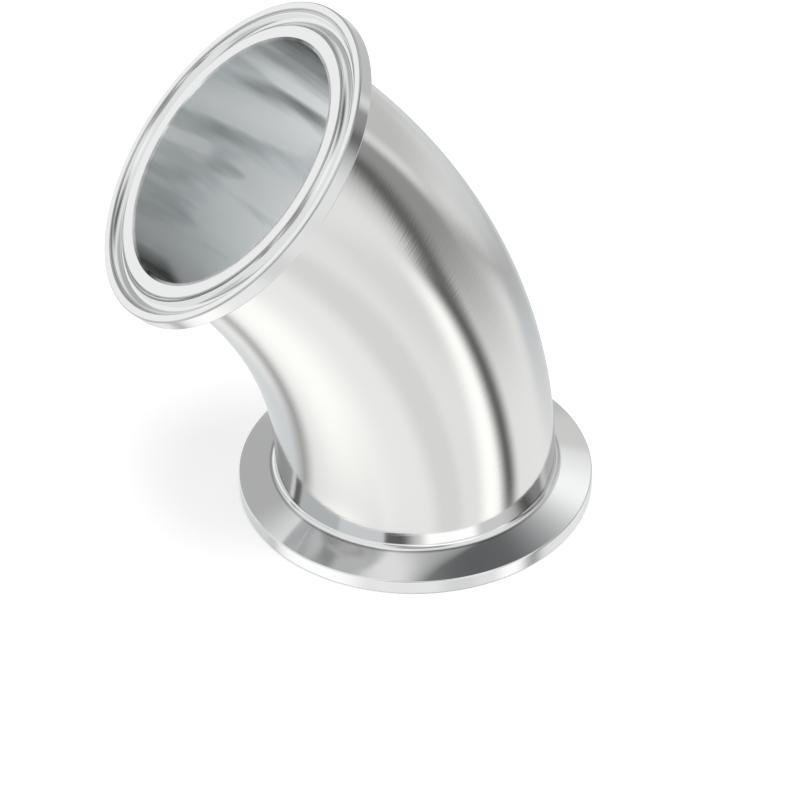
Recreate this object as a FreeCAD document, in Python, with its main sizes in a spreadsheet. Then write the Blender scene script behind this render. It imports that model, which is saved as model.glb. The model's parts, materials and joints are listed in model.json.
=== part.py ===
import FreeCAD, Part
import math
import os
import Sketcher

# A forty-five degree clamp elbow: one bent stainless tube between two turned ferrules.
# Millimetres. The origin is the centre of the lower gasket face, +Z runs up into the
# fitting, and the bend leans towards +X.

sizes = {
    "tube_diameter": 50.8,
    "tube_wall": 1.2,
    "bend_radius": 95.25,
    "bend_angle": 45.0,
    "rim_reach": 6.6,
    "rim_thickness": 2.85,
    "rim_edge": 0.3,
    "clamp_taper": 20.0,
    "neck_fillet": 1.2,
    "neck_land": 0.25,
    "channel_inset": 3.2,
    "channel_width": 3.2,
    "channel_depth": 1.4,
    "channel_lip": 0.25,
    "bore_edge": 0.2,
}

full_turn = 360
half_turn = 180
quarter_turn = 90
match_tolerance = 1e-4

document = FreeCAD.newDocument("clamp_elbow")
dimensions = document.addObject("Spreadsheet::Sheet", "dimensions")
for row, (alias, value) in enumerate(sizes.items(), start=1):
    dimensions.set(f"A{row}", alias)
    dimensions.set(f"B{row}", str(value))
    dimensions.setAlias(f"B{row}", alias)
document.recompute()

# Sizes that follow from the sheet, as numbers for drawing and finding edges. The rim
# stands out from the tube, the channel is set in from the rim, and the ferrule is as
# long as its rim, taper, fillet and weld land.
tube_radius = dimensions.tube_diameter / 2
bore_radius = tube_radius - dimensions.tube_wall
rim_radius = tube_radius + dimensions.rim_reach
channel_radius = rim_radius - dimensions.channel_inset
taper_angle = math.radians(dimensions.clamp_taper)
neck_foot = dimensions.rim_thickness + dimensions.rim_reach * math.tan(taper_angle)
fillet_run = dimensions.neck_fillet * math.tan((math.pi / 2 - taper_angle) / 2)
ferrule_length = neck_foot + fillet_run + dimensions.neck_land

# The same sizes as expressions, which drive the sketches and placements.
tube_radius_rule = "dimensions.tube_diameter / 2"
bore_radius_rule = f"{tube_radius_rule} - dimensions.tube_wall"
rim_radius_rule = f"{tube_radius_rule} + dimensions.rim_reach"
channel_radius_rule = f"{rim_radius_rule} - dimensions.channel_inset"
ferrule_length_rule = (
    "dimensions.rim_thickness + dimensions.rim_reach * tan(dimensions.clamp_taper)"
    f" + dimensions.neck_fillet * tan(({quarter_turn} - dimensions.clamp_taper) / 2)"
    " + dimensions.neck_land"
)


def origin_plane(body, role):
    return next(plane for plane in body.Origin.OriginFeatures if plane.Role == role)


def new_sketch(body, name, role):
    sketch = body.newObject("Sketcher::SketchObject", name)
    sketch.AttachmentSupport = (origin_plane(body, role), [""])
    sketch.MapMode = "FlatFace"
    return sketch


# Adds a named dimension that follows an expression.
def drive(sketch, name, rule, *constraint):
    index = sketch.addConstraint(Sketcher.Constraint(*constraint))
    sketch.renameConstraint(index, name)
    sketch.setExpression(f"Constraints.{name}", rule)


def join_ends(sketch, loop):
    for line, following in zip(loop, loop[1:] + loop[:1]):
        sketch.addConstraint(Sketcher.Constraint("Coincident", line, 2, following, 1))


# Turns a section about its sketch's vertical axis, to add metal or to cut it.
def turn(body, kind, name, sketch):
    feature = body.newObject(kind, name)
    feature.Profile = sketch
    feature.ReferenceAxis = (sketch, ["V_Axis"])
    feature.Angle = full_turn
    document.recompute()
    return feature


# Names of the circular edges of a turned piece that have this radius and height.
def circles_at(shape, radius, height):
    names = []
    for index, edge in enumerate(shape.Edges, start=1):
        curve = edge.Curve
        if not isinstance(curve, Part.Circle):
            continue
        if abs(curve.Radius - radius) > match_tolerance:
            continue
        if abs(curve.Center.z - height) > match_tolerance:
            continue
        names.append(f"Edge{index}")
    return names


# Rounds the circular edges at these places, each given as a radius and a height.
def round_circles(body, name, base, places, size):
    names = []
    for radius, height in places:
        names += circles_at(base.Shape, radius, height)
    if len(names) != len(places):
        raise RuntimeError(f"{name}: found {len(names)} of {len(places)} edges")
    feature = body.newObject("PartDesign::Fillet", name)
    feature.Base = (base, names)
    feature.setExpression("Radius", f"dimensions.{size}")
    document.recompute()
    return feature


# The half section of a ferrule, before its channel is cut and its edges are rounded.
def draw_ferrule_section(body):
    sketch = new_sketch(body, f"{body.Label}_section", "XZ_Plane")
    corners = [
        FreeCAD.Vector(bore_radius, 0),
        FreeCAD.Vector(rim_radius, 0),
        FreeCAD.Vector(rim_radius, dimensions.rim_thickness),
        FreeCAD.Vector(tube_radius, neck_foot),
        FreeCAD.Vector(tube_radius, ferrule_length),
        FreeCAD.Vector(bore_radius, ferrule_length),
    ]
    loop = [
        sketch.addGeometry(Part.LineSegment(start, end))
        for start, end in zip(corners, corners[1:] + corners[:1])
    ]
    join_ends(sketch, loop)
    face, rim, taper, neck, weld_end, bore = loop
    for line in (face, weld_end):
        sketch.addConstraint(Sketcher.Constraint("Horizontal", line))
    for line in (rim, neck, bore):
        sketch.addConstraint(Sketcher.Constraint("Vertical", line))
    sketch.addConstraint(Sketcher.Constraint("PointOnObject", face, 1, -1))
    drive(sketch, "bore_radius", bore_radius_rule,
          "DistanceX", -1, 1, face, 1, bore_radius)
    drive(sketch, "rim_radius", rim_radius_rule,
          "DistanceX", -1, 1, face, 2, rim_radius)
    drive(sketch, "rim_thickness", "dimensions.rim_thickness",
          "DistanceY", rim, 1, rim, 2, dimensions.rim_thickness)
    drive(sketch, "taper_slope", f"{half_turn} - dimensions.clamp_taper",
          "Angle", taper, math.pi - taper_angle)
    drive(sketch, "neck_radius", tube_radius_rule,
          "DistanceX", -1, 1, neck, 1, tube_radius)
    drive(sketch, "ferrule_length", ferrule_length_rule,
          "DistanceY", -1, 1, neck, 2, ferrule_length)
    return sketch


# The section of the gasket channel: an arc of the stated width and depth, closed
# across the mouth.
def draw_channel_section(body):
    sketch = new_sketch(body, f"{body.Label}_channel_section", "XZ_Plane")
    width = dimensions.channel_width
    depth = dimensions.channel_depth
    floor_radius = width ** 2 / (8 * depth) + depth / 2
    centre = FreeCAD.Vector(channel_radius, depth - floor_radius)
    lip_angle = math.asin((floor_radius - depth) / floor_radius)
    circle = Part.Circle(centre, FreeCAD.Vector(0, 0, 1), floor_radius)
    floor = sketch.addGeometry(Part.ArcOfCircle(circle, lip_angle, math.pi - lip_angle))
    inner_lip = FreeCAD.Vector(channel_radius - width / 2, 0)
    outer_lip = FreeCAD.Vector(channel_radius + width / 2, 0)
    mouth = sketch.addGeometry(Part.LineSegment(inner_lip, outer_lip))
    join_ends(sketch, [floor, mouth])
    sketch.addConstraint(Sketcher.Constraint("Horizontal", mouth))
    sketch.addConstraint(Sketcher.Constraint("PointOnObject", mouth, 1, -1))
    drive(sketch, "channel_radius", channel_radius_rule,
          "DistanceX", -1, 1, floor, 3, channel_radius)
    drive(sketch, "channel_width", "dimensions.channel_width",
          "DistanceX", mouth, 1, mouth, 2, width)
    drive(sketch, "floor_radius",
          "dimensions.channel_width ^ 2 / (8 * dimensions.channel_depth)"
          " + dimensions.channel_depth / 2",
          "Radius", floor, floor_radius)
    return sketch


# A ferrule turned about its own Z axis, with the gasket face at Z 0 and the weld end
# above it.
def make_ferrule(name):
    body = document.addObject("PartDesign::Body", name)
    body.Label = name
    section = draw_ferrule_section(body)
    blank = turn(body, "PartDesign::Revolution", f"{name}_blank", section)
    channel = draw_channel_section(body)
    grooved = turn(body, "PartDesign::Groove", f"{name}_channel", channel)
    if grooved.Shape.Volume >= blank.Shape.Volume:
        raise RuntimeError(f"{name}: the gasket channel cut nothing")
    half_width = dimensions.channel_width / 2
    lips = [(channel_radius - half_width, 0), (channel_radius + half_width, 0)]
    rims = [(rim_radius, 0), (rim_radius, dimensions.rim_thickness)]
    foot = [(tube_radius, neck_foot)]
    blended = round_circles(body, f"{name}_neck_fillet", grooved, foot, "neck_fillet")
    eased = round_circles(body, f"{name}_channel_lips", blended, lips, "channel_lip")
    rounded = round_circles(body, f"{name}_rim_edges", eased, rims, "rim_edge")
    round_circles(body, f"{name}_bore_edge", rounded, [(bore_radius, 0)], "bore_edge")
    return body


# The bent tube: its ring section swung about the bend axis, which lies to the +X side
# at the height of the lower weld.
def make_bend(name):
    body = document.addObject("PartDesign::Body", name)
    body.Label = name
    sketch = new_sketch(body, f"{name}_section", "XY_Plane")
    up = FreeCAD.Vector(0, 0, 1)
    rings = [
        ("outer_radius", tube_radius_rule, tube_radius),
        ("inner_radius", bore_radius_rule, bore_radius),
    ]
    for ring_name, rule, radius in rings:
        ring = sketch.addGeometry(Part.Circle(FreeCAD.Vector(), up, radius))
        sketch.addConstraint(Sketcher.Constraint("Coincident", ring, 3, -1, 1))
        drive(sketch, ring_name, rule, "Radius", ring, radius)
    near_end = FreeCAD.Vector(dimensions.bend_radius, -tube_radius)
    far_end = FreeCAD.Vector(dimensions.bend_radius, tube_radius)
    axis = sketch.addGeometry(Part.LineSegment(near_end, far_end), True)
    sketch.addConstraint(Sketcher.Constraint("Symmetric", axis, 1, axis, 2, -1))
    drive(sketch, "bend_radius", "dimensions.bend_radius",
          "DistanceX", -1, 1, axis, 1, dimensions.bend_radius)
    drive(sketch, "axis_length", "dimensions.tube_diameter",
          "DistanceY", axis, 1, axis, 2, dimensions.tube_diameter)
    bend = body.newObject("PartDesign::Revolution", f"{name}_sweep")
    bend.Profile = sketch
    bend.ReferenceAxis = (sketch, ["Axis0"])
    bend.setExpression("Angle", "dimensions.bend_angle")
    return body


elbow_bend = make_bend("elbow_bend")
elbow_bend.setExpression("Placement.Base.z", ferrule_length_rule)

lower_ferrule = make_ferrule("lower_ferrule")

# The upper ferrule faces out of the bend's far end, so its own Z axis points back down
# the tube.
upper_ferrule = make_ferrule("upper_ferrule")
turned_over = FreeCAD.Rotation(FreeCAD.Vector(0, -1, 0), half_turn - dimensions.bend_angle)
upper_ferrule.Placement = FreeCAD.Placement(FreeCAD.Vector(), turned_over)
upper_ferrule.setExpression("Placement.Rotation.Angle", f"{half_turn} - dimensions.bend_angle")
upper_ferrule.setExpression(
    "Placement.Base.x",
    "dimensions.bend_radius * (1 - cos(dimensions.bend_angle))"
    f" + ({ferrule_length_rule}) * sin(dimensions.bend_angle)",
)
upper_ferrule.setExpression(
    "Placement.Base.z",
    "dimensions.bend_radius * sin(dimensions.bend_angle)"
    f" + ({ferrule_length_rule}) * (1 + cos(dimensions.bend_angle))",
)

document.recompute()

for item in document.Objects:
    if "Invalid" in item.State or "Error" in item.State:
        raise RuntimeError(f"{item.Label} failed to build")

pieces = (elbow_bend, lower_ferrule, upper_ferrule)
for piece in pieces:
    if piece.Shape.isNull() or not piece.Shape.isValid():
        raise RuntimeError(f"{piece.Label} has no valid shape")

os.makedirs("parts", exist_ok=True)
for piece in pieces:
    piece.Shape.exportStep(f"parts/{piece.Label}.step")
    print(piece.Label, "volume", round(piece.Shape.Volume, 1))
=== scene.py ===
import json
import math

import bpy
from mathutils import Matrix, Vector


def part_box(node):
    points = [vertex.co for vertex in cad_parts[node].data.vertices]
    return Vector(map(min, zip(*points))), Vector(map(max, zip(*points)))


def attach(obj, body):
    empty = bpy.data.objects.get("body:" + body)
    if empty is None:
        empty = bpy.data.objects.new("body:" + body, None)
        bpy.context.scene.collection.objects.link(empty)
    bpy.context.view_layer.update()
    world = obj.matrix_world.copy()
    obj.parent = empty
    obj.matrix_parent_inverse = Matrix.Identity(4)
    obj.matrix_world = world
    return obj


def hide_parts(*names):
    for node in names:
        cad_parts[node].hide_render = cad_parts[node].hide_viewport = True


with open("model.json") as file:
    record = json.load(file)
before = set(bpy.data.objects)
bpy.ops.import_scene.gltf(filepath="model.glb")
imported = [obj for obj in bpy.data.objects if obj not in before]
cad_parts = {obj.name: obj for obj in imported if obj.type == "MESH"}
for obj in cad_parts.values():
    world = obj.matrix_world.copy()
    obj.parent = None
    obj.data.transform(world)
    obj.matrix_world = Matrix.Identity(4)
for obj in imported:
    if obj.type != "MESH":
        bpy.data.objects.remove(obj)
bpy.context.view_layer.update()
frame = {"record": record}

mm = 0.001
mounts = {mount["name"]: mount for mount in frame["record"]["mounts"]}


# A socket that Python's operators work on: an expression adds its Math nodes to the tree.
class Wire:
    def __init__(self, tree, socket):
        self.tree = tree
        self.socket = socket

    def math(self, operation, *values):
        node = self.tree.nodes.new("ShaderNodeMath")
        node.operation = operation
        for place, value in zip(node.inputs, values):
            plug(self.tree, place, value)
        return Wire(self.tree, node.outputs[0])

    def __add__(self, other):
        return self.math("ADD", self, other)

    def __radd__(self, other):
        return self.math("ADD", other, self)

    def __sub__(self, other):
        return self.math("SUBTRACT", self, other)

    def __rsub__(self, other):
        return self.math("SUBTRACT", other, self)

    def __mul__(self, other):
        return self.math("MULTIPLY", self, other)

    def __rmul__(self, other):
        return self.math("MULTIPLY", other, self)

    def __truediv__(self, other):
        return self.math("DIVIDE", self, other)

    def __mod__(self, other):
        return self.math("MODULO", self, other)

    def __abs__(self):
        return self.math("ABSOLUTE", self)

    def cos(self):
        return self.math("COSINE", self)

    def sin(self):
        return self.math("SINE", self)

    def root(self):
        return self.math("SQRT", self)

    def floor(self):
        return self.math("FLOOR", self)


def plug(tree, place, value):
    if isinstance(value, Wire):
        tree.links.new(value.socket, place)
    else:
        place.default_value = value


# Any node: its settings first, then what goes into its sockets. Gives its outputs by name.
def addNode(tree, kind, settings=None, inputs=None):
    node = tree.nodes.new(kind)
    for name, value in (settings or {}).items():
        setattr(node, name, value)
    places = {}
    for place in node.inputs:
        if place.enabled:
            places.setdefault(place.name, place)
            places.setdefault(place.identifier, place)
    for name, value in (inputs or {}).items():
        plug(tree, places[name], value)
    return {socket.name: Wire(tree, socket) for socket in node.outputs if socket.enabled}


# 1 up to start, easing down to 0 at end.
def easeOff(tree, value, start, end):
    return addNode(tree, "ShaderNodeMapRange", {"interpolation_type": "SMOOTHSTEP"}, {
        "Value": value,
        "From Min": start,
        "From Max": end,
        "To Min": 1,
        "To Max": 0,
    })["Result"]


def mixColour(tree, mask, under, over):
    return addNode(tree, "ShaderNodeMix", {"data_type": "RGBA"},
                   {"Factor": mask, "A": under, "B": over})["Result"]


def scaled(tree, vector, scale):
    return addNode(tree, "ShaderNodeVectorMath", {"operation": "SCALE"},
                   {"Vector": vector, "Scale": scale})["Vector"]


# Stage 1: shapes

boreRadius = mounts["lower_bore"]["dims"]["r_mm"] * mm
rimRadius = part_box("lower_ferrule")[1].x
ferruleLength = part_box("lower_ferrule")[1].z
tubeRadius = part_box("elbow_bend")[1].y
upperAxis = Vector(mounts["upper_bore"]["axis"])
upperCentre = Vector(mounts["upper_bore"]["pos_m"])
bendAngle = upperAxis.angle(Vector((0, 0, 1)))
bendRadius = (upperCentre.x - ferruleLength * math.sin(bendAngle)) / (1 - math.cos(bendAngle))


def arc(centre, radius, start, end, steps):
    angles = [start + (end - start) * step / steps for step in range(steps + 1)]
    return [centre + radius * Vector((math.cos(angle), math.sin(angle))) for angle in angles]


# The tangent arc that takes the place of a corner.
def rounded(before, corner, after, radius, steps):
    towards = (before - corner).normalized()
    onwards = (after - corner).normalized()
    halfAngle = towards.angle(onwards) / 2
    centre = corner + (towards + onwards).normalized() * radius / math.sin(halfAngle)
    reach = radius / math.tan(halfAngle)
    start = corner + towards * reach - centre
    end = corner + onwards * reach - centre
    turn = start.angle_signed(end)
    first = math.atan2(start.y, start.x)
    return arc(centre, radius, first, first - turn, steps)


supportMargin = 0.04 * mm   # a second loop this close to each rounded edge keeps the flats flat
shortestFlat = 0.2 * mm


# Puts a point close to each end of every long straight side.
def withSupports(outline):
    points = []
    for point, following in zip(outline, outline[1:] + outline[:1]):
        points.append(point)
        side = following - point
        if side.length > shortestFlat:
            step = side.normalized() * supportMargin
            points += [point + step, following - step]
    return points


ferrule = {
    "rimThickness": 2.85 * mm,
    "rimEdge": 0.3 * mm,
    "clampTaper": math.radians(20),
    "neckFillet": 1.2 * mm,
    "channelInset": 3.2 * mm,
    "channelWidth": 3.2 * mm,
    "channelDepth": 1.4 * mm,
    "channelLip": 0.25 * mm,
    "boreEdge": 0.2 * mm,
    "arcSteps": 10,
    "floorSteps": 28,
    "segments": 256,
}


# Half section of a ferrule as radius and height, from the weld end down the bore, out over
# the sealing face and back up the rim and taper.
def ferruleOutline():
    steps = ferrule["arcSteps"]
    neckFoot = ferrule["rimThickness"] + (rimRadius - tubeRadius) * math.tan(ferrule["clampTaper"])
    corners = [
        Vector((boreRadius, ferruleLength)),
        Vector((boreRadius, 0)),
        Vector((rimRadius, 0)),
        Vector((rimRadius, ferrule["rimThickness"])),
        Vector((tubeRadius, neckFoot)),
        Vector((tubeRadius, ferruleLength)),
    ]
    innerWeld, boreCorner, rimCorner, taperCorner, neckCorner, outerWeld = corners
    width, depth, lip = ferrule["channelWidth"], ferrule["channelDepth"], ferrule["channelLip"]
    floorRadius = width ** 2 / (8 * depth) + depth / 2
    centre = Vector((rimRadius - ferrule["channelInset"], depth - floorRadius))
    lipHeight = lip - centre.y
    lipReach = math.sqrt((floorRadius + lip) ** 2 - lipHeight ** 2)
    lipAngle = math.atan2(lipHeight, lipReach)
    innerLip = centre + Vector((-lipReach, lipHeight))
    outerLip = centre + Vector((lipReach, lipHeight))
    quarter = math.pi / 2
    return withSupports(
        [innerWeld]
        + rounded(innerWeld, boreCorner, rimCorner, ferrule["boreEdge"], steps)
        + arc(innerLip, lip, -quarter, -lipAngle, steps)
        + arc(centre, floorRadius, math.pi - lipAngle, lipAngle, ferrule["floorSteps"])[1:-1]
        + arc(outerLip, lip, math.pi + lipAngle, math.pi + quarter, steps)
        + rounded(boreCorner, rimCorner, taperCorner, ferrule["rimEdge"], steps)
        + rounded(rimCorner, taperCorner, neckCorner, ferrule["rimEdge"], steps)
        + rounded(taperCorner, neckCorner, outerWeld, ferrule["neckFillet"], steps)
        + [outerWeld]
    )


bend = {
    "segments": 256,
    "rings": 96,
}


# Half section of the straight tube blank, with rings along both walls for the bend.
def tubeOutline():
    length = bendRadius * bendAngle
    heights = [length * ring / bend["rings"] for ring in range(bend["rings"] + 1)]
    down = [Vector((boreRadius, height)) for height in reversed(heights)]
    return down + [Vector((tubeRadius, height)) for height in heights]


# Starts a tree with its named inputs.
def newTree(name, inputs):
    tree = bpy.data.node_groups.new(name, "GeometryNodeTree")
    tree.interface.new_socket("Geometry", in_out="INPUT", socket_type="NodeSocketGeometry")
    for label, kind in inputs.items():
        tree.interface.new_socket(label, in_out="INPUT", socket_type=kind)
    tree.interface.new_socket("Geometry", in_out="OUTPUT", socket_type="NodeSocketGeometry")
    return tree, addNode(tree, "NodeGroupInput")


sharpFold = math.radians(40)   # only the plain cut ends at the welds fold more than this


# Ends a tree: real faces, the piece's material and smooth shading but at the cut ends.
def closeTree(tree, geometry, material):
    whole = addNode(tree, "GeometryNodeRealizeInstances", {}, {"Geometry": geometry})
    painted = addNode(tree, "GeometryNodeSetMaterial", {},
                      {"Geometry": whole["Geometry"], "Material": material})
    smooth = addNode(tree, "GeometryNodeSetShadeSmooth", {"domain": "FACE"},
                     {"Geometry": painted["Geometry"]})
    fold = abs(addNode(tree, "GeometryNodeInputMeshEdgeAngle")["Signed Angle"])
    shaded = addNode(tree, "GeometryNodeSetShadeSmooth", {"domain": "EDGE"}, {
        "Geometry": smooth["Geometry"],
        "Shade Smooth": fold.math("LESS_THAN", fold, sharpFold),
    })
    addNode(tree, "NodeGroupOutput", {}, {"Geometry": shaded["Geometry"]})


mergeReach = 0.0005 * mm   # closes the seam where the turn ends


# Turns a section about Z, as on a lathe, and keeps each point's place on the straight blank
# in the attribute blank, which the finishes read.
def makeTurnTree():
    tree, given = newTree("turnSection", {
        "Segments": "NodeSocketInt",
        "Material": "NodeSocketMaterial",
    })
    size = addNode(tree, "GeometryNodeAttributeDomainSize", {}, {"Geometry": given["Geometry"]})
    around = given["Segments"] + 1
    along = size["Point Count"] + 1
    grid = addNode(tree, "GeometryNodeMeshGrid", {}, {"Vertices X": around, "Vertices Y": along})
    index = addNode(tree, "GeometryNodeInputIndex")["Index"]
    column = (index / along).floor()
    row = index % along
    angle = column * math.tau / given["Segments"]
    section = addNode(tree, "GeometryNodeSampleIndex", {"data_type": "FLOAT_VECTOR"}, {
        "Geometry": given["Geometry"],
        "Value": addNode(tree, "GeometryNodeInputPosition")["Position"],
        "Index": row % size["Point Count"],
    })
    point = addNode(tree, "ShaderNodeSeparateXYZ", {}, {"Vector": section["Value"]})
    turned = addNode(tree, "ShaderNodeCombineXYZ", {}, {
        "X": point["X"] * angle.cos(),
        "Y": point["X"] * angle.sin(),
        "Z": point["Z"],
    })
    placed = addNode(tree, "GeometryNodeSetPosition", {},
                     {"Geometry": grid["Mesh"], "Position": turned["Vector"]})
    joined = addNode(tree, "GeometryNodeMergeByDistance", {},
                     {"Geometry": placed["Geometry"], "Distance": mergeReach})
    kept = addNode(tree, "GeometryNodeStoreNamedAttribute", {"data_type": "FLOAT_VECTOR"}, {
        "Geometry": joined["Geometry"],
        "Name": "blank",
        "Value": addNode(tree, "GeometryNodeInputPosition")["Position"],
    })
    closeTree(tree, kept["Geometry"], given["Material"])
    return tree


# Bends a straight blank about an axis that lies to its +X side.
def makeBendTree():
    tree, given = newTree("bendBlank", {
        "Bend Radius": "NodeSocketFloat",
        "Start Height": "NodeSocketFloat",
        "Material": "NodeSocketMaterial",
    })
    radius = given["Bend Radius"]
    place = addNode(tree, "GeometryNodeInputPosition")["Position"]
    point = addNode(tree, "ShaderNodeSeparateXYZ", {}, {"Vector": place})
    swing = point["Z"] / radius
    bent = addNode(tree, "ShaderNodeCombineXYZ", {}, {
        "X": radius - (radius - point["X"]) * swing.cos(),
        "Y": point["Y"],
        "Z": (radius - point["X"]) * swing.sin() + given["Start Height"],
    })
    placed = addNode(tree, "GeometryNodeSetPosition", {},
                     {"Geometry": given["Geometry"], "Position": bent["Vector"]})
    closeTree(tree, placed["Geometry"], given["Material"])
    return tree


def shape(piece, tree, values):
    modifier = piece.modifiers.new(tree.name, "NODES")
    modifier.node_group = tree
    for socket in tree.interface.items_tree:
        if socket.in_out == "INPUT" and socket.name in values:
            modifier[socket.identifier] = values[socket.name]


# Turns what the modifiers make into a plain mesh.
def settle(piece):
    evaluated = piece.evaluated_get(bpy.context.evaluated_depsgraph_get())
    mesh = bpy.data.meshes.new_from_object(evaluated)
    piece.modifiers.clear()
    piece.data = mesh
    mesh.name = piece.name
    return piece


def newPiece(name, outline):
    mesh = bpy.data.meshes.new(name)
    count = len(outline)
    sides = [(start, (start + 1) % count) for start in range(count)]
    mesh.from_pydata([(point.x, 0, point.y) for point in outline], sides, [])
    piece = bpy.data.objects.new(name, mesh)
    bpy.context.scene.collection.objects.link(piece)
    return piece


def hold(piece, node):
    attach(piece, "root")
    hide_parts(node)
    print("made", piece.name, "with", len(piece.data.polygons), "faces")


turnTree = makeTurnTree()
bendTree = makeBendTree()


def makeFerrule(name, material, place=None):
    piece = newPiece(name, ferruleOutline())
    shape(piece, turnTree, {"Segments": ferrule["segments"], "Material": material})
    settle(piece)
    if place:
        piece.data.transform(place)
    return piece


def makeBentTube(name, material):
    piece = newPiece(name, tubeOutline())
    shape(piece, turnTree, {"Segments": bend["segments"], "Material": material})
    shape(piece, bendTree, {
        "Bend Radius": bendRadius,
        "Start Height": ferruleLength,
        "Material": material,
    })
    return settle(piece)


# Stage 2: finishes

tubeFinish = {
    "colour": (0.738, 0.74, 0.728),
    "roughness": (0.07, 0.11),    # the least and the most, in soft patches
    "clouding": 14 * mm,          # size of the patches that the hand polishing left
    "grooveWidth": 0.4 * mm,
    "grooveLength": 7 * mm,
    "grooveDepth": 0.008 * mm,
    "metal": 1,
}

boreFinish = {
    "colour": (0.862, 0.886, 0.89),
    "roughness": (0.28, 0.31),
    "clouding": 9 * mm,
    "grooveWidth": 0.4 * mm,
    "grooveLength": 9 * mm,
    "grooveDepth": 0.004 * mm,
    "metal": 0.88,                # under 1, because the bore stays matt
}

ferruleFinish = {
    "colour": (0.733, 0.736, 0.74),
    "roughness": (0.06, 0.1),
    "clouding": 11 * mm,
    "grooveWidth": 0.16 * mm,
    "grooveLength": 16 * mm,
    "grooveDepth": 0.0012 * mm,
    "metal": 1,
}

# Painted reflections: a fine dark line is painted on each lip of the channel, round the edge of the
# sealing face and at the foot of the neck, in the place of the dark reflections on these small edges.
# Each line has its radius and the depths between which it lies.
channelRadius = rimRadius - ferrule["channelInset"]
halfChannel = ferrule["channelWidth"] / 2
filletReach = ferrule["neckFillet"] / math.tan(math.radians(45) + ferrule["clampTaper"] / 2)
neckFootRadius = tubeRadius + filletReach * math.cos(ferrule["clampTaper"])
paintedEdgeLines = {
    "innerLip": (channelRadius - halfChannel, 0, ferrule["rimEdge"]),
    "outerLip": (channelRadius + halfChannel, 0, ferrule["rimEdge"]),
    "faceEdge": (rimRadius, 0, ferrule["rimEdge"]),
    "neckFoot": (neckFootRadius, ferrule["rimThickness"], ferruleLength),
}
lineHalfWidth = 0.4 * mm
lineShade = 0.4

# Painted reflections and painted shade inside the tube, as long soft pale and dark marks. Each has its
# angle round the bore and half its width in degrees, the depths below the sealing face between which it
# shows in mm, and how much paler or darker it is.
paintedBoreLight = {
    "darkMouth": (214, 12, -4, 16, -0.78),
    "darkSide": (235, 9, 0, 26, -0.55),
    "paleUpper": (255, 3, 8, 26, 0.3),
    "darkUpper": (262, 3, 6, 24, -0.45),
    "paleBand": (277, 6, -4, 22, 0.9),
    "darkMiddle": (289, 3, 6, 22, -0.3),
    "paleShort": (298, 2.5, -4, 10, 0.45),
    "paleDeep": (303, 7, 20, 44, 0.45),
    "darkLine": (304, 2.5, 11, 22, -0.3),
    "darkShort": (314, 3, -4, 10, -0.25),
    "paleEnd": (328, 9, 18, 44, 0.6),
    "darkThin": (339, 2, 18, 30, -0.35),
    "paleLow": (350, 11, 0, 34, 0.5),
    "paleFoot": (5, 9, 10, 26, 0.6),
    "darkCorner": (12, 16, -8, 13, -0.9),
}
markSlant = math.radians(0.45) / mm   # the marks turn this much with the depth
markFade = {
    "aside": (0.25, 1.75),        # where a mark starts to fade and is gone, in half widths
    "along": (0.5, 1.5),          # the same in half lengths
}
# Painted reflections: random pale and dark streaks along the bore, in the place of its streaked
# reflections.
paintedStreaks = {
    "width": 3 * mm,
    "length": 26 * mm,
    "contrast": 0.8,
}
boreEdgeShade = 0.45              # painted shade on the rounded edge of the bore, which dims its reflection

noiseDetail = {
    "clouds": 3,
    "streaks": 2,
}
noiseMean = 0.5
midWall = (boreRadius + tubeRadius) / 2
edgeStart = boreRadius + ferrule["boreEdge"] / 10
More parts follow.
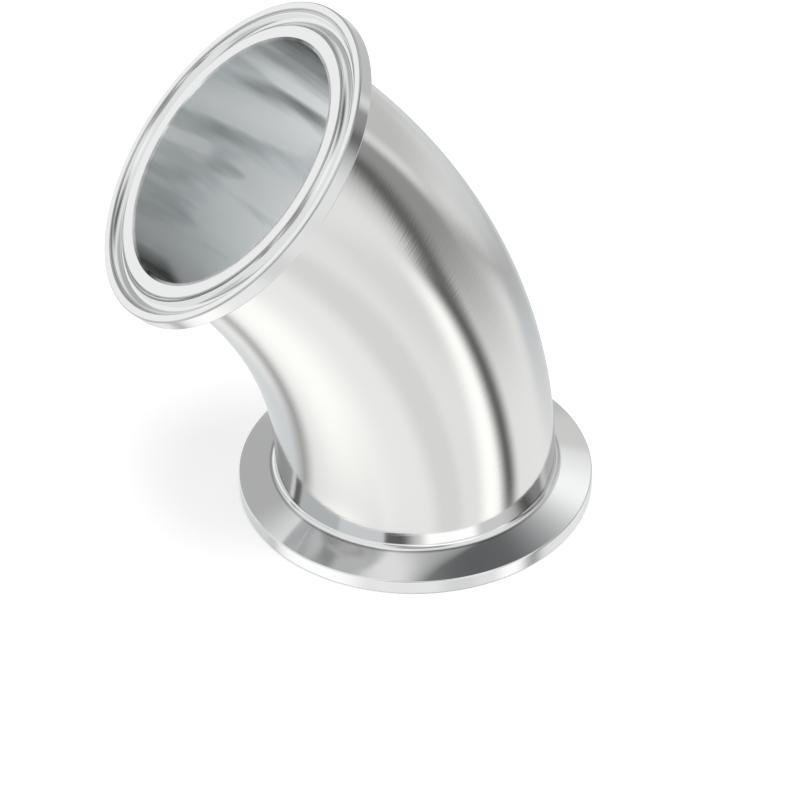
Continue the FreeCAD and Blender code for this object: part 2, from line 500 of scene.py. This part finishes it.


# Steel whose fine tool marks run round the piece, as on the straight blank. The finish inside
# the bore is coarser than the one outside. A sealing face lies at the height given as face on
# the blank, and the bore goes from there in the direction way, 1 for up and -1 for down.
# The colour carries painted reflections and painted shade: pale and dark marks and streaks in the bore,
# and fine dark lines at small edges.
def makeSteel(name, outside, inside, face, way):
    material = bpy.data.materials.new(name)
    material.use_nodes = True
    tree = material.node_tree
    shader = tree.nodes["Principled BSDF"]
    blank = addNode(tree, "ShaderNodeAttribute", {"attribute_name": "blank"})["Vector"]
    place = addNode(tree, "ShaderNodeSeparateXYZ", {}, {"Vector": blank})
    radius = (place["X"] * place["X"] + place["Y"] * place["Y"]).root()
    bore = radius.math("LESS_THAN", radius, midWall)
    depth = (place["Z"] - face) * way

    def noise(spot, detail):
        return addNode(tree, "ShaderNodeTexNoise", {},
                       {"Vector": spot, "Scale": 1, "Detail": detail})["Fac"]

    def clouds(finish):
        return noise(scaled(tree, blank, 1 / finish["clouding"]), noiseDetail["clouds"])

    def streaks(across, along):
        spot = addNode(tree, "ShaderNodeCombineXYZ", {}, {
            "X": place["X"] * (-way / across),
            "Y": place["Y"] / across,
            "Z": along,
        })["Vector"]
        return noise(spot, noiseDetail["streaks"])

    def grooves(finish):
        along = (place["Z"] + radius) / finish["grooveWidth"]
        return streaks(finish["grooveLength"], along) * finish["grooveDepth"]

    def rough(finish):
        low, high = finish["roughness"]
        return low + clouds(finish) * (high - low)

    # Painted reflections and painted shade in the bore: pale and dark streaks and marks in its colour,
    # and painted shade on its rounded edge.
    def paintedBoreTone():
        turn = place["Y"].math("ARCTAN2", place["Y"], place["X"] * -way) + depth * markSlant
        streakTone = streaks(paintedStreaks["width"], depth / paintedStreaks["length"])
        tone = 1 + (streakTone - noiseMean) * paintedStreaks["contrast"]
        for angle, half, first, last, strength in paintedBoreLight.values():
            offset = turn - math.radians(angle)
            aside = abs(offset.math("WRAP", offset, math.pi, -math.pi))
            middle = (first + last) / 2 * mm
            reach = (last - first) / 2 * mm
            across = easeOff(tree, aside, *[math.radians(half) * share for share in markFade["aside"]])
            along = easeOff(tree, abs(depth - middle), *[reach * share for share in markFade["along"]])
            tone = tone + strength * across * along
        # painted shade on the rounded edge of the bore
        return tone * (1 - boreEdgeShade * radius.math("GREATER_THAN", radius, edgeStart))

    # Darkens the colour along the painted reflection lines.
    def paintedLineTone():
        tone = 1
        for line, first, last in paintedEdgeLines.values():
            there = depth.math("GREATER_THAN", depth, first) * depth.math("LESS_THAN", depth, last)
            tone = tone - lineShade * there * easeOff(tree, abs(radius - line), 0, lineHalfWidth)
        return tone

    def choose(insideValue, outsideValue):
        return addNode(tree, "ShaderNodeMix", {"data_type": "FLOAT"},
                       {"Factor": bore, "A": outsideValue, "B": insideValue})["Result"]

    colour = mixColour(tree, bore, (*outside["colour"], 1), (*inside["colour"], 1))
    toned = scaled(tree, colour, choose(paintedBoreTone(), paintedLineTone()))
    relief = addNode(tree, "ShaderNodeBump", {}, {
        "Height": choose(grooves(inside), grooves(outside)),
        "Distance": 1,
    })["Normal"]
    plug(tree, shader.inputs["Base Color"], toned)
    plug(tree, shader.inputs["Roughness"], choose(rough(inside), rough(outside)))
    plug(tree, shader.inputs["Metallic"], choose(inside["metal"], outside["metal"]))
    plug(tree, shader.inputs["Normal"], relief)
    return material


polishedTube = makeSteel("polishedTube", tubeFinish, boreFinish,
                         ferruleLength + bendRadius * bendAngle, -1)
turnedSteel = makeSteel("turnedSteel", ferruleFinish, boreFinish, 0, 1)
print("finished", polishedTube.name, "and", turnedSteel.name)

upperPlace = Matrix.Translation(upperCentre) @ Matrix.Rotation(bendAngle - math.pi, 4, "Y")
bentTube = makeBentTube("bentTube", polishedTube)
lowerFerrule = makeFerrule("lowerClampFerrule", turnedSteel)
upperFerrule = makeFerrule("upperClampFerrule", turnedSteel, upperPlace)
hold(bentTube, "elbow_bend")
hold(lowerFerrule, "lower_ferrule")
hold(upperFerrule, "upper_ferrule")

# Stage 3: camera

camera = {
    "aim": (4.37 * mm, 8.94 * mm, 26.6 * mm),
    "azimuth": math.radians(79.232),
    "elevation": math.radians(39.013),
    "roll": math.radians(-0.685),
    "distance": 1608.8 * mm,
    "lens": 405,
    "sensor": 36,
    "nearest": 0.05,
    "farthest": 60,
}


# The unit vector towards an azimuth and elevation.
def outward(azimuth, elevation):
    flat = math.cos(elevation)
    return Vector((flat * math.cos(azimuth), flat * math.sin(azimuth), math.sin(elevation)))


def makeCamera():
    data = bpy.data.cameras.new("camera")
    data.lens = camera["lens"]
    data.sensor_width = camera["sensor"]
    data.clip_start = camera["nearest"]
    data.clip_end = camera["farthest"]
    item = bpy.data.objects.new("camera", data)
    bpy.context.scene.collection.objects.link(item)
    away = outward(camera["azimuth"], camera["elevation"])
    item.matrix_world = (
        Matrix.Translation(Vector(camera["aim"]) + away * camera["distance"])
        @ away.to_track_quat("Z", "Y").to_matrix().to_4x4()
        @ Matrix.Rotation(camera["roll"], 4, "Z")
    )
    bpy.context.scene.camera = item
    print("camera stands at", [round(value, 4) for value in item.matrix_world.translation])


makeCamera()

# Stage 4: studio

backdrop = (1, 1, 1, 1)

# Takes over a share of the studio's light on matt surfaces, so that the floor shows a shadow
# under the overhang. The steel's reflections show the studio alone.
overheadLamp = {
    "azimuth": math.radians(100),
    "elevation": math.radians(84),
    "spread": math.radians(30),
    "level": 0.3,
    "share": 0.3,
}

# Soft boxes, walls and flags round the object, all far away. Each has its azimuth from +X and
# its elevation, half its width and height as seen from the object, the softness of its edge
# and its tilt, in degrees, then its brightness beside that of the backdrop and its tint.
studioPanels = {
    "underGlow": (72, -50, 15, 10, 4, 0, 1.08, "plain"),
    "sideGrey": (108, -35, 8, 8, 4, 0, 0.88, "plain"),
    "sideWall": (134, -17, 10, 8, 6, 0, 0.9, "plain"),
    "edgeLamp": (146, -31, 6, 19, 5, -12, 1.35, "warm"),
    "dimCorner": (179, 8, 21, 24, 15, 0, 0.36, "plain"),
    "flagLow": (159, -24, 5, 17, 5, 12, 0.14, "warm"),
    "flagHigh": (166, 1, 4.5, 16, 5, -32, 0.14, "warm"),
    "rightWall": (-136, 4, 31, 20, 5, -14, 0.66, "plain"),
    "rightLamp": (-146, -11, 18, 4, 6, -22, 0.88, "plain"),
    "rightLow": (-126, -29, 26, 9, 8, -14, 0.68, "cool"),
    "rightTop": (-122, 19, 9, 5, 1.5, 0, 0.78, "warm"),
    "rightLine": (-148, -20, 26, 2, 4, -26, 0.5, "plain"),
    "streak": (-165, 12, 3.5, 13, 4, 0, 0.88, "plain"),
    "backWall": (-66, -46, 21, 10, 6, -8, 0.78, "cool"),
    "backStripe": (-36, -60, 5, 21, 7, -19, 0.42, "plain"),
    "underLamp": (30, -68, 16, 18, 14, 0, 1.32, "warm"),
    "rimLamp": (10, -39, 80, 4.5, 3, 0, 1.35, "plain"),
    "faceLamp": (-48, 5, 15, 9, 3, 0, 1.12, "plain"),
    "neckHigh": (-47, 17, 15, 5, 2, 0, 0.42, "cool"),
    "neckDark": (-22, 11, 4.5, 7, 1.5, 0, 0.18, "plain"),
    "neckGrey": (1, 6, 20, 7, 3, -10, 0.75, "cool"),
    "neckFlag": (64, 1, 11, 5, 7, 0, 0.02, "plain"),
    "neckSide": (38, 4, 18, 7, 1.5, -6, 1, "cool"),
    "neckLamp": (105, 1, 20, 5, 5, 0, 1.85, "plain"),
    "highGrey": (84, 26, 18, 16, 7, 0, 0.45, "plain"),
    "backHigh": (-71, 28, 14, 23, 8, -25, 0.55, "plain"),
    "ceilingLamp": (-137, 37, 7, 8, 7, 0, 1.25, "plain"),
    "ceilingFlag": (-145, 73, 14, 22, 15, 0, 0.14, "cool"),
    "topLamp": (35, 68, 16, 10, 8, 0, 1.2, "plain"),
    "floorShade": (-175, -78, 14, 14, 8, 0, 0.55, "cool"),
}
tints = {
    "plain": (1, 1, 1),
    "cool": (0.97, 1.005, 1.02),
    "warm": (1.008, 1, 0.985),
}


# Across, up and towards a panel, as unit vectors.
def panelAxes(azimuth, elevation, tilt):
    towards = outward(azimuth, elevation)
    level = outward(azimuth + math.pi / 2, 0)
    upright = towards.cross(level)
    across = level * math.cos(tilt) + upright * math.sin(tilt)
    return across, towards.cross(across), towards


def makeStudio():
    world = bpy.data.worlds.new("studio")
    bpy.context.scene.world = world
    world.use_nodes = True
    tree = world.node_tree
    view = addNode(tree, "ShaderNodeTexCoord")["Generated"]

    def along(axis):
        return addNode(tree, "ShaderNodeVectorMath", {"operation": "DOT_PRODUCT"},
                       {"Vector": view, "Vector_001": axis})["Value"]

    def fade(angle, half, soft):
        return easeOff(tree, abs(angle), half - soft, half + soft)

    light = backdrop
    for *angles, level, tint in studioPanels.values():
        azimuth, elevation, width, height, soft, tilt = [math.radians(angle) for angle in angles]
        across, upright, towards = [along(axis) for axis in panelAxes(azimuth, elevation, tilt)]
        sideways = across.math("ARCTAN2", across, towards)
        upwards = upright.math("ARCSINE", upright)
        mask = fade(sideways, width, soft) * fade(upwards, height, soft)
        light = mixColour(tree, mask, light, (*[level * share for share in tints[tint]], 1))
    rays = addNode(tree, "ShaderNodeLightPath")
    background = tree.nodes["Background"]
    seen = mixColour(tree, rays["Is Camera Ray"], light, backdrop)
    plug(tree, background.inputs["Color"], seen)
    plug(tree, background.inputs["Strength"], 1 - rays["Is Diffuse Ray"] * overheadLamp["share"])
    world.cycles.sampling_method = "NONE"   # panels this wide need no map, and it costs time
    print("studio has", len(studioPanels), "panels")


makeStudio()


def makeLamp():
    data = bpy.data.lights.new("overheadLamp", "SUN")
    data.energy = overheadLamp["level"] * math.pi / math.sin(overheadLamp["elevation"])
    data.angle = overheadLamp["spread"]
    item = bpy.data.objects.new("overheadLamp", data)
    bpy.context.scene.collection.objects.link(item)
    place = outward(overheadLamp["azimuth"], overheadLamp["elevation"])
    item.matrix_world = place.to_track_quat("Z", "Y").to_matrix().to_4x4()
    item.visible_glossy = False


makeLamp()

floorSheet = {
    "reach": 12,
    "colour": (0.93, 0.93, 0.93, 1),
    "roughness": 0.9,
    "lift": (0.36, 0.36, 0.36, 1),   # keeps the sheet white for the camera
}


# The floor keeps the shadow. The steel reflects the studio below the floor's edge instead of
# it, as in a light tent.
def makeFloor():
    reach = floorSheet["reach"]
    mesh = bpy.data.meshes.new("floor")
    corners = [(-reach, -reach, 0), (reach, -reach, 0), (reach, reach, 0), (-reach, reach, 0)]
    mesh.from_pydata(corners, [], [(0, 1, 2, 3)])
    item = bpy.data.objects.new("floor", mesh)
    bpy.context.scene.collection.objects.link(item)
    paint = bpy.data.materials.new("floorPaint")
    paint.use_nodes = True
    tree = paint.node_tree
    shader = tree.nodes["Principled BSDF"]
    shader.inputs["Base Color"].default_value = floorSheet["colour"]
    shader.inputs["Roughness"].default_value = floorSheet["roughness"]
    shader.inputs["Specular IOR Level"].default_value = 0
    seen = addNode(tree, "ShaderNodeLightPath")["Is Camera Ray"]
    plug(tree, shader.inputs["Emission Color"], mixColour(tree, seen, (0, 0, 0, 1), floorSheet["lift"]))
    shader.inputs["Emission Strength"].default_value = 1
    mesh.materials.append(paint)
    item.visible_glossy = False
    print("floor reaches", reach, "m")


makeFloor()

bpy.context.scene.view_settings.view_transform = "Standard"

bpy.context.view_layer.update()
